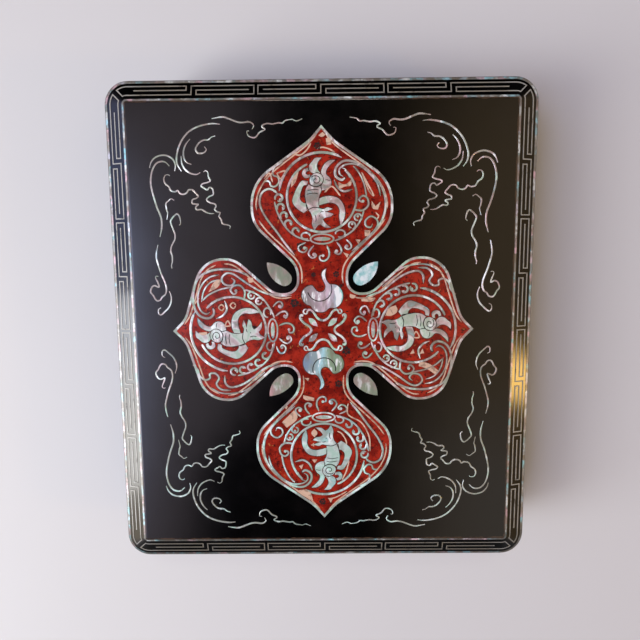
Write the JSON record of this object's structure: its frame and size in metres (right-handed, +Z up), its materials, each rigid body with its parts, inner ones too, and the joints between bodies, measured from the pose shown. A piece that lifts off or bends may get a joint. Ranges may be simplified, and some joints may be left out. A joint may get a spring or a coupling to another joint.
{
  "type": "lacquer box",
  "caption": "Shallow rectangular lacquer box with a lift-off bevelled lid inlaid with shell, and a lift-out tray.",
  "frame": {"origin": "middle of the box's footprint, on the surface that it rests on", "axes": "+Z up through the lid, +Y along the box's longer side towards the back, +X to the right"},
  "size_m": [0.216, 0.25, 0.0501],
  "materials": {
    "black_lacquer": "black lacquer over wood, polished to a deep gloss",
    "red_lacquer": "vermilion lacquer, polished flush with the black",
    "shell": "cut mother of pearl, silver white with pink, green and blue in it, polished",
    "shell_line": "fine lines of cut shell, beige silver, polished"
  },
  "bodies": {
    "box": {"body_wall_front": "black_lacquer", "body_wall_right": "black_lacquer", "body_wall_back": "black_lacquer", "body_wall_left": "black_lacquer", "bottom_board": "black_lacquer", "foot_front": "black_lacquer", "foot_right": "black_lacquer", "foot_back": "black_lacquer", "foot_left": "black_lacquer", "rim_front": "black_lacquer", "rim_right": "black_lacquer", "rim_back": "black_lacquer", "rim_left": "black_lacquer", "tray_rest_left": "black_lacquer", "tray_rest_right": "black_lacquer"},
    "tray": {"tray_wall_front": "black_lacquer", "tray_wall_right": "black_lacquer", "tray_wall_back": "black_lacquer", "tray_wall_left": "black_lacquer", "tray_board": "black_lacquer"},
    "lid": {"lid_wall_front": "black_lacquer", "lid_wall_right": "black_lacquer", "lid_wall_back": "black_lacquer", "lid_wall_left": "black_lacquer", "lid_board": "black_lacquer", "quatrefoil_field": "red_lacquer", "corner_cloud_back_right": "shell", "corner_cloud_front_right": "shell", "corner_cloud_back_left": "shell", "corner_cloud_front_left": "shell", "beast_heads": "shell", "beast_trunks": "shell", "beast_forelegs": "shell", "beast_near_legs": "shell", "beast_far_legs": "shell", "beast_haunches": "shell", "beast_tails": "shell", "beast_manes": "shell", "roundel_rings": "shell", "roundel_outer_arcs": "shell", "boss_rims": "shell", "boss_pills": "shell", "lobe_wings": "shell", "lobe_brows": "shell", "neck_lines": "shell", "flame_back": "shell", "flame_front": "shell", "middle_scrolls": "shell", "middle_petals": "shell", "quatrefoil_outline": "shell", "leaf_drops": "shell", "border_edge_line": "shell", "border_arris_line": "shell", "fret_back": "shell_line", "fret_right": "shell_line", "fret_front": "shell_line", "fret_left": "shell_line"}
  },
  "joints": [
    {"name": "tray_lift", "type": "slide", "parent": "box", "child": "tray", "axis": [0, 0, 1], "range_m": [0, 0.06]},
    {"name": "lid_lift", "type": "slide", "parent": "tray", "child": "lid", "axis": [0, 0, 1], "range_m": [0, 0.1]}
  ]
}
